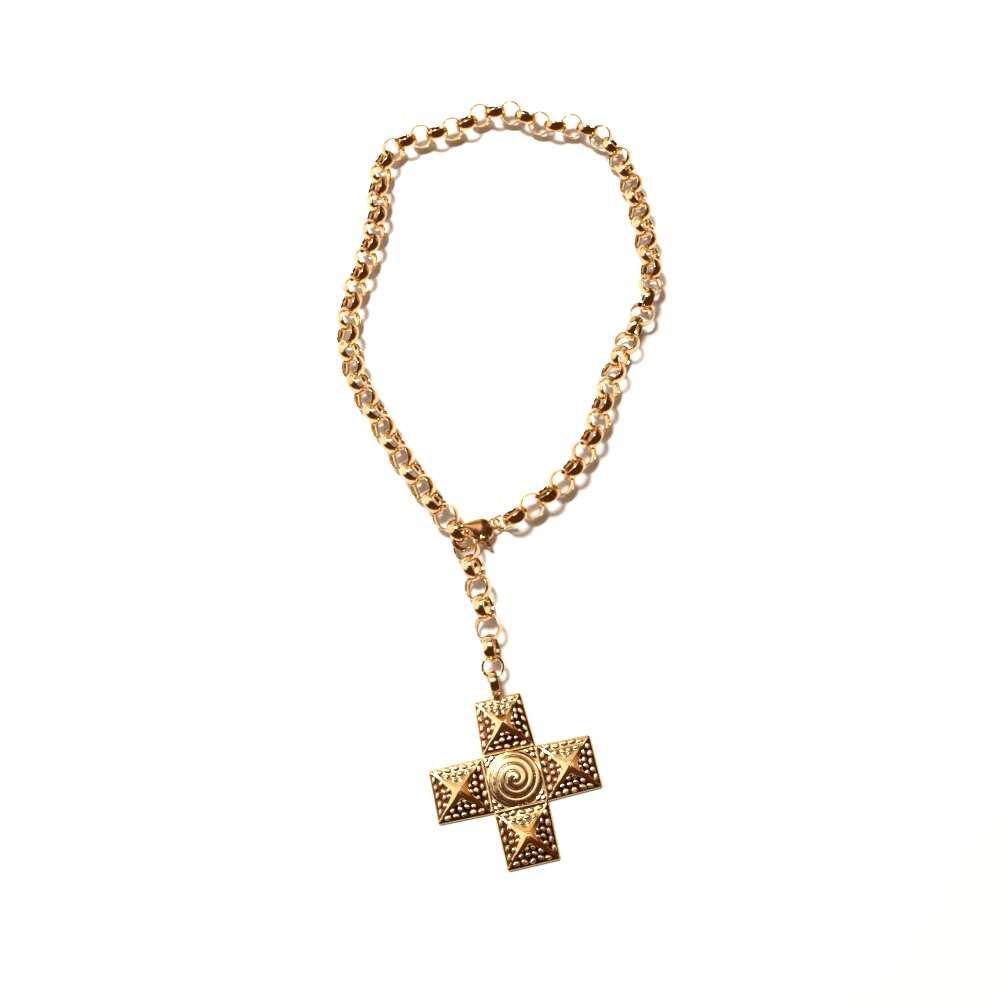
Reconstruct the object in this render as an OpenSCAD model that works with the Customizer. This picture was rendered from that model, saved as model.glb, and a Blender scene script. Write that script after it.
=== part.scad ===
// Cross pendant on a chain of round domed links, laid flat and closed in front.
// A lobster clasp at one end of the chain holds it where two links cross, and
// the chain runs on below that as a short drop which carries the pendant.

/* [Chain] */
// Outer diameter of a chain link
link_d = 9.2; // [9:0.1:9.4]
// Width of a link's band along its axis
link_band_w = 3.4; // [3:0.1:3.5]
// Thickness of a link's band at its middle
link_wall = 0.9; // [0.85:0.01:0.95]
// Height of a link's middle above the surface that the necklace lies on
link_mid_z = 4.8; // [4.75:0.05:5]
// Distance between neighbouring links in the drop
drop_pitch = 6.9; // [6.8:0.05:6.9]

/* [Clasp] */
// Radius of the hook's bore
hook_bore_r = 3.15; // [3.15:0.05:3.2]
// Radius of the hook's wire
hook_wire_r = 0.8; // [0.75:0.05:0.8]
// Half width of the domed body
body_r = 4; // [3.8:0.1:4.1]
// Greatest thickness of the domed body
body_thick = 3.4; // [3.2:0.1:3.5]
// Thickness of the lever
lever_thick = 1.1; // [1:0.05:1.1]
// Angle that the clasp's tail dips towards the surface
clasp_dip = 9.5; // [9:0.5:10]

/* [Rings] */
// Outer diameter of the two plain round wire rings
ring_d = 7.6; // [7.5:0.1:7.7]
// Radius of their wire
ring_wire_r = 0.5; // [0.45:0.05:0.5]

/* [Pendant] */
// Side of each of the cross's five squares
square_side = 17.2; // [16.8:0.1:17.4]
// Thickness of the flat plate
plate_t = 1.2; // [1:0.1:1.5]
// Height of each pyramid above the plate
pyramid_h = 4.4; // [4:0.1:5]
// Outer width of the side and lower arms as a share of the square's side
arm_taper = 0.95; // [0.92:0.01:1]
// Outer width of the upper arm as a share of the square's side
top_arm_taper = 0.88; // [0.86:0.01:1]
// Height of the spiral's middle above the plate
spiral_h = 2.4; // [1.8:0.1:3]
// Distance between neighbouring turns of the spiral
spiral_pitch = 2.3; // [2.1:0.1:2.6]
// Outer diameter of the bail loop
bail_d = 8.2; // [8:0.1:8.3]
// Width of the bail loop's band
bail_band_w = 2.8; // [2.5:0.1:3]

/* [Hidden] */
gold = "goldenrod";

// Moves the middle of the necklace's outline to the origin
outline_mid = [0.39, 22.83];

// Points [x, y] that the neck chain runs through, from the clasp's ring up the
// right side, over the top and down the left side to the link beside the hook
NECK_ROUTE = [
    [5.1, -7.6], [16.8, 0.6], [25.6, 10.6], [32.2, 22.6], [36.2, 35.2], [40.8, 48],
    [46.5, 60.7], [52.4, 72.8], [55.3, 86], [54, 101.7], [51.5, 119], [46.5, 137],
    [39.5, 148.3], [29.5, 153.8], [17.5, 154.5], [6, 160], [-5.5, 160.2], [-15.8, 153.6],
    [-27, 150], [-36.8, 146.4], [-43.8, 138.5], [-46, 126], [-46.2, 112], [-48.9, 95.5],
    [-53.4, 77.5], [-54.3, 60], [-50.1, 43.4], [-42.6, 29.4], [-34.3, 14.9], [-25.5, 2],
    [-19.2, -6.4], [-13.7, -13]
];
// Points [x, y] that the drop runs through, from that same link down
DROP_ROUTE = [
    [-13.7, -13], [-10.9, -19.2], [-8.8, -26.2], [-6.9, -33.3],
    [-4.9, -40.5], [-3.4, -47.5], [-2.6, -54.4]
];
// Links between the clasp's ring and the clasp's hook, and links in the drop below
neck_links = 68;
drop_links = 6;
// Share by which the links stand closer together at the back of the neck
crowding = 0.03;
// Roll of every other link about the chain's line, and a slow sway of it
link_roll = 45;
roll_sway = 4;
sway_step = 17;
// Turn of the right side's links by its lower end, and the links that it builds up over
side_twist = -105;
side_twist_links = [18, 8];
// Turn of the whole drop about its line by its last link
drop_twist = -30;
// Turn of the links next to the hook, which lets the hook pass through two of them
hook_twist = -17;
hook_link = neck_links - 1;
// Distance between the two links that the hook passes through
hook_pitch = 6.65;
route_steps = 12;

// Bulge of the band's outside and inside faces, which leaves thin rounded edges
band_bulge_out = 0.4;
band_bulge_in = 0.38;
band_strips = 4;

function catmull(a, b, c, d, t) =
    0.5 * (2 * b + (c - a) * t + (2 * a - 5 * b + 4 * c - d) * t * t + (3 * b - a - 3 * c + d) * t * t * t);
function before(p) = 2 * p[0] - p[1];
function beyond(p) = 2 * p[len(p) - 1] - p[len(p) - 2];
function padded(p) = concat([before(p)], p, [beyond(p)]);
function smooth_route(p) =
    let (w = padded(p))
    concat(
        [for (i = [0 : len(p) - 2], k = [0 : route_steps - 1])
            catmull(w[i], w[i + 1], w[i + 2], w[i + 3], k / route_steps)],
        [p[len(p) - 1]]
    );
function run_lengths(p) = [
    for (i = 0, s = 0; i < len(p); i = i + 1, s = i < len(p) ? s + norm(p[i] - p[i - 1]) : s) s
];
function along(p, lengths, s) = [
    lookup(s, [for (i = [0 : len(p) - 1]) [lengths[i], p[i].x]]),
    lookup(s, [for (i = [0 : len(p) - 1]) [lengths[i], p[i].y]])
];
function heading(a, b) = atan2(b.y - a.y, b.x - a.x);

neck_line = smooth_route(NECK_ROUTE);
neck_runs = run_lengths(neck_line);
neck_len = neck_runs[len(neck_runs) - 1];
drop_line = smooth_route(DROP_ROUTE);
drop_runs = run_lengths(drop_line);
neck_mids = [
    for (i = [0 : neck_links - 1])
        let (u = i / (neck_links - 1))
        along(neck_line, neck_runs, neck_len * (u + crowding * sin(360 * u) / (2 * PI)))
];
drop_mids = [for (i = [0 : drop_links - 1]) along(drop_line, drop_runs, hook_pitch + i * drop_pitch)];
link_mids = concat(neck_mids, drop_mids);
link_count = len(link_mids);

function link_heading(i) = heading(link_mids[max(i - 1, 0)], link_mids[min(i + 1, link_count - 1)]);
function side_share(i) =
    min(1, max(0, (side_twist_links[0] - i) / (side_twist_links[0] - side_twist_links[1])));
function link_turn(i) =
    (i % 2 == 0 ? link_roll : -link_roll)
    + side_twist * side_share(i)
    + (i < hook_link - 3 ? roll_sway * sin(sway_step * i) : 0)
    + drop_twist * max(0, i - neck_links) / (drop_links - 1)
    + hook_twist * max(0, 1 - pow((i - hook_link) / 3, 2));

// The hook closes round the crossing of the neck's last link and the drop's first
hook_mid = (neck_mids[neck_links - 1] + drop_mids[0]) / 2 + [0.46, 0.5];
hook_mid_z = link_mid_z + 0.4;
clasp_heading = 30;
clasp_roll = 10;
hook_r = hook_bore_r + hook_wire_r;
shoulder_angle = 68;
tip_angle = 246;
body_mid = [hook_r + 3, -0.2];
tail_wire_r = 0.4;
tail_r = 1.7;
tail_x = body_mid.x + body_r + tail_r - 0.9;

// The lever turns on a rivet in the body's lower edge and its tip meets the hook's
pivot = [body_mid.x - 1, -3.1];
rivet_r = 0.45;
rivet_gap = 0.05;
rivet_head_r = 0.7;
rivet_head_t = 0.25;
cheek_r = 1.5;
cheek_thick = 2.9;
lever_root_r = 1.25;
lever_arm_w = 1.3;
lever_gap = 0.12;
lever_tip_angle = 262.5;
lever_bend_angle = 310;
nub_reach = 3;
nub_angle = -80;

// The clasp's ring leans between the tail's eye and the neck's first link
clasp_ring_mid = [1.34, -9.44, 3.98];
clasp_ring_turn = [66.4, 0, -3.6];

// The pendant hangs below the drop's last link from a ring that lies nearly flat
pendant_ring_mid = [-2.32, -58.46, 5.09];
pendant_ring_tilt = [9.25, 0, 4];
pendant_mid = [4.6, -92.6];
pendant_turn = 12.6;

// Relief of the cross
rim_w = 0.5;
pyramid_step = 0.25;
corner_r = 0.8;
border_r = 0.42;
spiral_r = 8.3;
spiral_ridge = 0.32;
spiral_start = -90;
spiral_rings = 28;
spiral_rays = 60;
half_square = square_side / 2;
bail_gap = -0.05;
bail_tongue = 2.7;
bail_tongue_w = 2.2;
bail_tongue_t = 0.85;
// Rows of hammer marks on each face, as [distance from the edge, number of marks]
mark_rows = [[1.3, 5], [2.75, 4], [4.2, 3], [5.6, 2]];
mark_step = 2.3;
mark_len = 1.9;
mark_r = 1.1;
mark_rise = 0.2;

module in_frame() {
    translate([-outline_mid.x, -outline_mid.y, 0]) children();
}

// Section of a half-round band: narrow straight strips that follow a shallow arc on
// the outside and another on the inside
module link_section(d, wall, band_w, bulge_out, bulge_in) {
    half = band_w / 2;
    out_r = (half * half + bulge_out * bulge_out) / (2 * bulge_out);
    in_r = (half * half + bulge_in * bulge_in) / (2 * bulge_in);
    heights = [for (k = [0 : band_strips]) half * (2 * k / band_strips - 1)];
    outside = [for (y = heights) [d / 2 - out_r + sqrt(out_r * out_r - y * y), y]];
    inside = [
        for (k = [band_strips : -1 : 0])
            let (y = heights[k]) [d / 2 - wall + in_r - sqrt(in_r * in_r - y * y), y]
    ];
    polygon(concat(outside, inside));
}

module band_ring(d, wall, band_w, bulge_out, bulge_in) {
    rotate_extrude($fn = 48) link_section(d, wall, band_w, bulge_out, bulge_in);
}

module wire_ring(r, wire_r) {
    rotate_extrude($fn = 48) translate([r, 0]) circle(r = wire_r, $fn = 24);
}

module chain_links(first, last) {
    for (i = [first : last])
        translate([link_mids[i].x, link_mids[i].y, link_mid_z])
            rotate([link_turn(i), 0, link_heading(i)])
                band_ring(link_d, link_wall, link_band_w, band_bulge_out, band_bulge_in);
}

module neck_chain() {
    color(gold) in_frame() chain_links(0, neck_links - 1);
}

module drop_chain() {
    color(gold) in_frame() chain_links(neck_links, link_count - 1);
}

module at_clasp() {
    translate([hook_mid.x, hook_mid.y, hook_mid_z])
        rotate([0, clasp_dip, clasp_heading]) rotate([clasp_roll, 0, 0])
            children();
}

module hook_arc(from, to) {
    rotate([0, 0, from])
        rotate_extrude(angle = to - from, $fn = 48)
            translate([hook_r, 0]) circle(r = hook_wire_r, $fn = 24);
}

module at_angle(angle) {
    rotate([0, 0, angle]) translate([hook_r, 0, 0]) children();
}

module clasp_dome() {
    hull() {
        translate(body_mid) scale([1, 1, body_thick / 2 / body_r]) sphere(r = body_r, $fn = 32);
        at_angle(shoulder_angle) sphere(r = 1.2 * hook_wire_r, $fn = 24);
    }
}

// Space that the lever turns in, open towards the hook's bore and the nub
module lever_slot() {
    reach = 8;
    linear_extrude(lever_thick + 2 * lever_gap, center = true) {
        translate(pivot) circle(r = lever_root_r + lever_gap, $fn = 48);
        translate(pivot + [-3.4, -reach]) square([3.4 + lever_root_r + lever_gap, reach]);
        translate(pivot + [-3.4, 0]) square([3.4, 2.2]);
    }
}

module clasp_body() {
    color(gold) in_frame() at_clasp() {
        difference() {
            union() {
                clasp_dome();
                translate(pivot) cylinder(r = cheek_r, h = cheek_thick, center = true, $fn = 48);
                hook_arc(30, tip_angle);
                at_angle(tip_angle) sphere(r = hook_wire_r, $fn = 24);
                translate([tail_x, 0, 0]) wire_ring(tail_r, tail_wire_r);
            }
            cylinder(r = hook_bore_r, h = 2 * body_thick, center = true, $fn = 48);
            translate([tail_x, 0, 0])
                cylinder(r = tail_r - tail_wire_r, h = 2 * body_thick, center = true, $fn = 48);
            lever_slot();
        }
        translate(pivot) cylinder(r = rivet_r, h = cheek_thick, center = true, $fn = 32);
        for (side = [-1, 1])
            translate([pivot.x, pivot.y, side * (cheek_thick + rivet_head_t - 0.1) / 2])
                cylinder(r = rivet_head_r, h = rivet_head_t, center = true, $fn = 32);
    }
}

module lever_arc() {
    wedge_r = 2 * hook_r;
    intersection() {
        difference() {
            circle(r = hook_r + lever_arm_w / 2, $fn = 96);
            circle(r = hook_r - lever_arm_w / 2, $fn = 96);
        }
        polygon([
            [0, 0],
            wedge_r * [cos(lever_tip_angle), sin(lever_tip_angle)],
            wedge_r * [cos(lever_bend_angle), sin(lever_bend_angle)]
        ]);
    }
}

module lever_outline() {
    bend = hook_r * [cos(lever_bend_angle), sin(lever_bend_angle)];
    difference() {
        union() {
            lever_arc();
            hull() {
                translate(bend) circle(r = lever_arm_w / 2, $fn = 32);
                translate(pivot) circle(r = lever_arm_w / 2, $fn = 32);
            }
            hull() {
                translate(pivot) circle(r = lever_arm_w / 2, $fn = 32);
                translate(pivot + nub_reach * [cos(nub_angle), sin(nub_angle)])
                    circle(r = lever_arm_w / 2, $fn = 32);
            }
            translate(pivot) circle(r = lever_root_r, $fn = 48);
        }
        translate(pivot) circle(r = rivet_r + rivet_gap, $fn = 32);
    }
}

module clasp_lever() {
    color(gold) in_frame() at_clasp() linear_extrude(lever_thick, center = true) lever_outline();
}

module clasp_ring() {
    color(gold) in_frame() translate(clasp_ring_mid) rotate(clasp_ring_turn)
        wire_ring(ring_d / 2 - ring_wire_r, ring_wire_r);
}

module pendant_ring() {
    color(gold) in_frame() translate(pendant_ring_mid) rotate(pendant_ring_tilt)
        wire_ring(ring_d / 2 - ring_wire_r, ring_wire_r);
}

// Outline of one arm, which points up and starts at the cross's middle
module arm_outline(taper, inset) {
    base = half_square - inset;
    tip = taper * half_square - inset;
    end = 3 * half_square - inset;
    polygon([
        [-base, 0], [base, 0], [base, half_square], [tip, end - corner_r], [tip - corner_r, end],
        [corner_r - tip, end], [-tip, end - corner_r], [-base, half_square]
    ]);
    for (side = [-1, 1])
        translate([side * (tip - corner_r), end - corner_r]) circle(r = corner_r, $fn = 32);
}

// Long ridge with concave sides: a strip with an arc cut from each side
module concave_ridge() {
    rise = pyramid_h - pyramid_step;
    arc_r = (half_square * half_square + rise * rise) / (2 * rise);
    rotate([90, 0, 0]) linear_extrude(square_side, center = true) difference() {
        translate([-half_square, -plate_t / 2]) square([square_side, pyramid_h + plate_t / 2]);
        for (side = [-1, 1])
            translate([side * half_square, pyramid_step + arc_r]) circle(r = arc_r, $fn = 128);
    }
}

module pyramid() {
    intersection() {
        concave_ridge();
        rotate([0, 0, 90]) concave_ridge();
    }
}

// Low rounded hammer marks on one face of a pyramid, in rows counted from its edge
module hammered_face() {
    rise = pyramid_h - pyramid_step;
    arc_r = (half_square * half_square + rise * rise) / (2 * rise);
    sink = mark_r - mark_rise;
    for (row = mark_rows) {
        lean = asin(row[0] / arc_r);
        y = half_square - row[0] - sink * sin(lean);
        z = plate_t + pyramid_step + arc_r * (1 - cos(lean)) - sink * cos(lean);
        for (k = [0 : row[1] - 1])
            translate([(k - (row[1] - 1) / 2) * mark_step, y, z])
                rotate([0, 90, 0]) cylinder(r = mark_r, h = mark_len, center = true, $fn = 32);
    }
}

module arm(taper) {
    linear_extrude(plate_t) arm_outline(taper, 0);
    intersection() {
        translate([0, square_side, 0]) union() {
            translate([0, 0, plate_t]) pyramid();
            for (turn = [0 : 90 : 270])
                rotate([0, 0, turn]) hammered_face();
        }
        linear_extrude(plate_t + pyramid_h) arm_outline(taper, rim_w);
    }
}

function spiral_z(r, angle) =
    let (
        share = r / spiral_r,
        crest = 0.5 + 0.5 * cos(360 * r / spiral_pitch - (angle - spiral_start)),
        fade = min(1, (1 - share) * 6)
    )
    plate_t + 0.3 + spiral_h * (1 - share) + spiral_ridge * crest * fade;

// Raised cone whose top carries one rounded ridge, wound from the middle outwards
module spiral_boss() {
    bottom = plate_t / 2;
    ring_points = [
        for (k = [1 : spiral_rings], m = [0 : spiral_rays - 1])
            let (r = k * spiral_r / spiral_rings, angle = m * 360 / spiral_rays)
            [r * cos(angle), r * sin(angle), spiral_z(r, angle)]
    ];
    foot_points = [
        for (m = [0 : spiral_rays - 1])
            let (angle = m * 360 / spiral_rays)
            [spiral_r * cos(angle), spiral_r * sin(angle), bottom]
    ];
    function at(k, m) = 1 + k * spiral_rays + m % spiral_rays;
    top_faces = [for (m = [0 : spiral_rays - 1]) [0, at(0, m + 1), at(0, m)]];
    side_faces = [
        for (k = [0 : spiral_rings - 1], m = [0 : spiral_rays - 1], half = [0, 1])
            half == 0 ? [at(k, m), at(k, m + 1), at(k + 1, m)]
                : [at(k, m + 1), at(k + 1, m + 1), at(k + 1, m)]
    ];
    foot_face = [for (m = [0 : spiral_rays - 1]) at(spiral_rings, m)];
    polyhedron(
        concat([[0, 0, spiral_z(0, 0)]], ring_points, foot_points),
        concat(top_faces, side_faces, [foot_face])
    );
}

module square_border() {
    for (turn = [0 : 90 : 270])
        rotate([0, 0, turn]) translate([0, half_square, plate_t])
            rotate([0, 90, 0]) cylinder(r = border_r, h = square_side, center = true, $fn = 24);
}

// Upright loop on a short tongue of the plate
module bail() {
    end = 3 * half_square;
    translate([0, end + bail_gap + bail_d / 2, bail_d / 2 + 0.05]) rotate([0, 90, 0])
        band_ring(bail_d, link_wall, bail_band_w, 0.25, 0.2);
    translate([-bail_tongue_w / 2, end - plate_t, 0]) cube([bail_tongue_w, plate_t + bail_tongue, bail_tongue_t]);
}

module cross_pendant() {
    color(gold) in_frame() translate([pendant_mid.x, pendant_mid.y, 0]) rotate([0, 0, pendant_turn]) {
        for (turn = [0 : 90 : 270])
            rotate([0, 0, turn]) arm(turn == 0 ? top_arm_taper : arm_taper);
        spiral_boss();
        square_border();
        bail();
    }
}

neck_chain();
drop_chain();
clasp_body();
clasp_lever();
clasp_ring();
pendant_ring();
cross_pendant();
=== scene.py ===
"""Gold-plated cross necklace, laid flat and closed in front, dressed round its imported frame.

The pieces' sizes are in millimetres and become metres when a mesh is made. The studio's are in
metres. Every piece lies where its CAD node lies, worked out again here from the same points.
"""
import logging
import math
from dataclasses import dataclass, field
from enum import Enum
from typing import Callable, Sequence

import bpy
import numpy as np
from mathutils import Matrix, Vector


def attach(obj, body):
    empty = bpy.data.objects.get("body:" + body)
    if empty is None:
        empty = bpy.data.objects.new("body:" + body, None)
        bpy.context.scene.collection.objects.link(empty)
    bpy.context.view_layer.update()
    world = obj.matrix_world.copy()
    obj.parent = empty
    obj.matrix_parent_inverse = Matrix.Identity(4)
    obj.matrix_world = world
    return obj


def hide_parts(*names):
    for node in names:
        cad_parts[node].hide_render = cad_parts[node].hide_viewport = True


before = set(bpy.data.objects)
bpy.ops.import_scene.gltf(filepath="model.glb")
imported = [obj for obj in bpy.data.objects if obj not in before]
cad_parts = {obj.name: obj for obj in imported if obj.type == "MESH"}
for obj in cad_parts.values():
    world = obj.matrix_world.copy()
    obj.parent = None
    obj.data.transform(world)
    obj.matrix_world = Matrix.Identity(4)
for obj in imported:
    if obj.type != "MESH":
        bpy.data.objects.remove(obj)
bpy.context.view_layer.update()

MM = 0.001
# Middle of the necklace's outline in the drawing that the points below belong to
OUTLINE_MID = np.array([0.39, 22.83, 0.0])
# Keeps a division away from zero
TINY = 1e-9

log = logging.getLogger("necklace")

Array = np.ndarray
Points = np.ndarray
Faces = list
Spot = Sequence[float]
Socket = bpy.types.NodeSocket


# Turning and placing

def turn_about(axis: int, degrees: float) -> Array:
    """Makes a turn about one of the three axes.

    Args:
        axis: 0 for x, 1 for y, 2 for z.
        degrees: How far to turn, counter-clockwise.

    Returns:
        The 3 by 3 matrix.
    """
    c, s = math.cos(math.radians(degrees)), math.sin(math.radians(degrees))
    a, b = [(1, 2), (2, 0), (0, 1)][axis]
    matrix = np.eye(3)
    matrix[a, a], matrix[a, b], matrix[b, a], matrix[b, b] = c, -s, s, c
    return matrix


def turned(x: float, y: float, z: float) -> Array:
    """Turns about x, then y, then z, in degrees."""
    return turn_about(2, z) @ turn_about(1, y) @ turn_about(0, x)


@dataclass
class Placement:
    """Where a piece stands: its turn, and its middle in the drawing's millimetres."""

    turn: Array
    middle: Spot

    def place(self, points: Points) -> Points:
        """Takes points in the piece's own axes, in millimetres, to the shared frame, in metres."""
        return (points @ self.turn.T + np.asarray(self.middle) - OUTLINE_MID) * MM


def make_object(name: str, points: Points, faces: Faces) -> bpy.types.Object:
    """Makes a smooth-shaded mesh object.

    Args:
        name: The piece's name.
        points: Rows of x, y, z in metres.
        faces: Rows of point numbers, three or more each.

    Returns:
        The new object, linked to the scene.
    """
    mesh = bpy.data.meshes.new(name)
    mesh.from_pydata(np.asarray(points).tolist(), [], [list(map(int, row)) for row in faces])
    mesh.validate()
    mesh.shade_smooth()
    piece = bpy.data.objects.new(name, mesh)
    bpy.context.scene.collection.objects.link(piece)
    return piece


def finish_piece(piece: bpy.types.Object, material: bpy.types.Material, body: str, node: str) -> None:
    """Dresses a piece, ties it to its body and hides the CAD node that it stands for.

    Args:
        piece: The piece.
        material: Its finish.
        body: The body that it moves with.
        node: The CAD node that it replaces.
    """
    piece.data.materials.append(material)
    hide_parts(node)
    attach(piece, body)
    log.info("piece %s: %d faces, on %s", piece.name, len(piece.data.polygons), body)


# Finishes

class NodeSheet:
    """A short way to lay out the nodes of a material or of the world."""

    def __init__(self, tree: bpy.types.NodeTree) -> None:
        """Clears the tree and keeps it."""
        self.tree = tree
        tree.nodes.clear()

    def add(self, kind: str, inputs: dict | None = None, **settings: object) -> bpy.types.Node:
        """Adds one node.

        Args:
            kind: The node's type name.
            inputs: Socket name or number, with a value, or an output socket to link from.
            settings: Properties of the node itself.

        Returns:
            The new node.
        """
        node = self.tree.nodes.new(kind)
        for key, value in settings.items():
            setattr(node, key, value)
        for key, value in (inputs or {}).items():
            if isinstance(value, Socket):
                self.tree.links.new(value, node.inputs[key])
            else:
                node.inputs[key].default_value = value
        return node

    def out(self, output: str, kind: str, inputs: dict | None = None, **settings: object) -> Socket:
        """Adds one node and hands back one of its outputs."""
        return self.add(kind, inputs, **settings).outputs[output]

    def ramp(self, factor: Socket, stops: Sequence[tuple]) -> Socket:
        """Adds a colour ramp.

        Args:
            factor: The socket that drives it.
            stops: Pairs of position and (r, g, b).

        Returns:
            Its colour output.
        """
        node = self.add("ShaderNodeValToRGB", {"Fac": factor})
        elements = node.color_ramp.elements
        while len(elements) < len(stops):
            elements.new(0.5)
        for element, (position, colour) in zip(elements, stops):
            element.position = position
            element.color = (*colour, 1.0)
        return node.outputs["Color"]

    def spread(self, value: Socket, low: float, high: float, to_low: float, to_high: float) -> Socket:
        """Maps the range from low to high smoothly to that from to_low to to_high."""
        ends = {"Value": value, "From Min": low, "From Max": high, "To Min": to_low, "To Max": to_high}
        return self.out("Result", "ShaderNodeMapRange", ends, interpolation_type="SMOOTHSTEP")

    def surface(self, inputs: dict) -> None:
        """Ends a material with its surface."""
        shader = self.out("BSDF", "ShaderNodeBsdfPrincipled", inputs)
        self.add("ShaderNodeOutputMaterial", {"Surface": shader})


def start_material(name: str) -> tuple[bpy.types.Material, NodeSheet, Socket]:
    """Starts a node material.

    Args:
        name: Its name.

    Returns:
        The material, its empty sheet, and the piece's own coordinates.
    """
    material = bpy.data.materials.new(name)
    material.use_nodes = True
    sheet = NodeSheet(material.node_tree)
    return material, sheet, sheet.out("Object", "ShaderNodeTexCoord")


class Grain(Enum):
    """Which way the fine polishing marks of a finish run, as a stretch of x, y and z."""

    TUMBLED = (1.0, 1.0, 1.0)
    BUFFED = (1.0, 5.0, 1.0)
    DRAWN = (6.0, 1.0, 1.0)


@dataclass(frozen=True)
class GoldFinish:
    """Polished gold plating: tint, wear, polishing marks and how sharply it mirrors, and, where asked,
    painted shade in its recesses.
    """

    name: str
    tint: tuple = (0.95, 0.72, 0.4)
    deep_tint: tuple = (0.88, 0.58, 0.26)
    rough_low: float = 0.07
    rough_high: float = 0.2
    grain: Grain = Grain.TUMBLED
    cloud_scale: float = 220.0
    cloud_stops: tuple = (0.32, 0.62)
    mark_scale: float = 900.0
    mark_turn: tuple = (0.3, 0.2, 0.7)
    mark_stops: tuple = (0.3, 0.75)
    mark_depth: float = 0.012
    # Point attribute that says where painted shade goes, the dark red-brown colour of that painted shade,
    # and the duller roughness under it
    painted_shade: str = ""
    painted_shade_tint: tuple = (0.13, 0.042, 0.014)
    shade_dull: float = 0.12

    def material(self) -> bpy.types.Material:
        """Builds the finish as a node material.

        Returns:
            The material.
        """
        material, sheet, place = start_material(self.name)
        wide = {"Vector": place, "Scale": self.cloud_scale, "Detail": 4.0}
        clouds = sheet.out("Fac", "ShaderNodeTexNoise", wide)
        colour = sheet.ramp(clouds, list(zip(self.cloud_stops, (self.deep_tint, self.tint))))
        grain = {"Vector": place, "Scale": self.grain.value, "Rotation": self.mark_turn}
        stretched = sheet.out("Vector", "ShaderNodeMapping", grain)
        fine = {"Vector": stretched, "Scale": self.mark_scale, "Detail": 6.0, "Roughness": 0.6}
        marks = sheet.out("Fac", "ShaderNodeTexNoise", fine)
        rough = sheet.spread(marks, *self.mark_stops, self.rough_low, self.rough_high)
        # Painted shade: mixes the colour towards dark red-brown, and dulls it, where the attribute says
        if self.painted_shade:
            shade_mask = sheet.out("Fac", "ShaderNodeAttribute", attribute_name=self.painted_shade)
            mixed = {"Factor": shade_mask, "A": colour, "B": (*self.painted_shade_tint, 1.0)}
            colour = sheet.out("Result", "ShaderNodeMix", mixed, data_type="RGBA")
            dulled = {0: shade_mask, 1: self.shade_dull, 2: rough}
            rough = sheet.out("Value", "ShaderNodeMath", dulled, operation="MULTIPLY_ADD")
        wear = {"Height": marks, "Strength": 0.6, "Distance": self.mark_depth * MM}
        bump = sheet.out("Normal", "ShaderNodeBump", wear)
        sheet.surface({"Base Color": colour, "Metallic": 1.0, "Roughness": rough, "Normal": bump})
        return material


# Arcs, rows and faces

def arc_radius(half: float, rise: float) -> float:
    """Radius of an arc that rises so much over half its width."""
    return (half ** 2 + rise ** 2) / (2 * rise)


def polar(radius: float, degrees: float) -> Array:
    """The flat point at some radius and angle about the origin."""
    a = math.radians(degrees)
    return radius * np.array([math.cos(a), math.sin(a)])


def eased(share: Array) -> Array:
    """Cuts a share to 0 to 1 and lets it start and end gently."""
    share = np.clip(share, 0, 1)
    return share * share * (3 - 2 * share)


def oval(dx: Array, dy: Array, lean: float, long_half: float, short_half: float) -> Array:
    """How far out of a leaning oval each point lies: 0 in its middle and 1 on its edge."""
    c, s = math.cos(lean), math.sin(lean)
    return np.hypot((dx * c + dy * s) / long_half, (dy * c - dx * s) / short_half)


def swept_row(radius: Array, height: Array, angle: float) -> Points:
    """A section's points, turned to some angle, in radians, about the z axis."""
    return np.stack([radius * math.cos(angle), radius * math.sin(angle), height], axis=1)


def tube_faces(rows: int, sides: int, closed: bool) -> Array:
    """Joins the neighbouring rows of a tube.

    Args:
        rows: How many rows of points it has.
        sides: How many points a row has.
        closed: Whether its last row meets the first.

    Returns:
        The faces, as rows of four point numbers.
    """
    i, j = np.meshgrid(np.arange(rows if closed else rows - 1), np.arange(sides), indexing="ij")
    here, there = i * sides, (i + 1) % rows * sides
    after = (j + 1) % sides
    return np.stack([here + j, there + j, there + after, here + after], axis=-1).reshape(-1, 4)


# Closed forms cut from a field

def smooth_min(a: Array, b: Array, blend: float) -> Array:
    """Joins two fields with a fillet of about that size."""
    share = np.clip(0.5 + 0.5 * (b - a) / blend, 0.0, 1.0)
    return b + (a - b) * share - blend * share * (1.0 - share)


def smooth_max(a: Array, b: Array, blend: float) -> Array:
    """Keeps what two fields share, with a rounded edge of about that size."""
    return -smooth_min(-a, -b, blend)


def ellipsoid(x: Array, y: Array, z: Array, radii: Sequence[float]) -> Array:
    """Distance to an ellipsoid about the origin, nearly exact close to its surface."""
    a, b, c = radii
    near = np.sqrt((x / a) ** 2 + (y / b) ** 2 + (z / c) ** 2) + TINY
    slope = np.sqrt((x / a ** 2) ** 2 + (y / b ** 2) ** 2 + (z / c ** 2) ** 2) + TINY
    return near * (near - 1.0) / slope


def box_2d(x: Array, y: Array, low: Spot, high: Spot) -> Array:
    """Distance to a flat rectangle between two corners."""
    dx = np.abs(x - (low[0] + high[0]) / 2) - (high[0] - low[0]) / 2
    dy = np.abs(y - (low[1] + high[1]) / 2) - (high[1] - low[1]) / 2
    outside = np.hypot(np.maximum(dx, 0), np.maximum(dy, 0))
    return outside + np.minimum(np.maximum(dx, dy), 0)


def capsule_2d(x: Array, y: Array, start: Spot, end: Spot, radius: float) -> Array:
    """Distance to a flat bar with round ends between two points."""
    along = np.array([end[0] - start[0], end[1] - start[1]])
    share = ((x - start[0]) * along[0] + (y - start[1]) * along[1]) / (along @ along)
    share = np.clip(share, 0.0, 1.0)
    return np.hypot(x - start[0] - share * along[0], y - start[1] - share * along[1]) - radius


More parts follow.
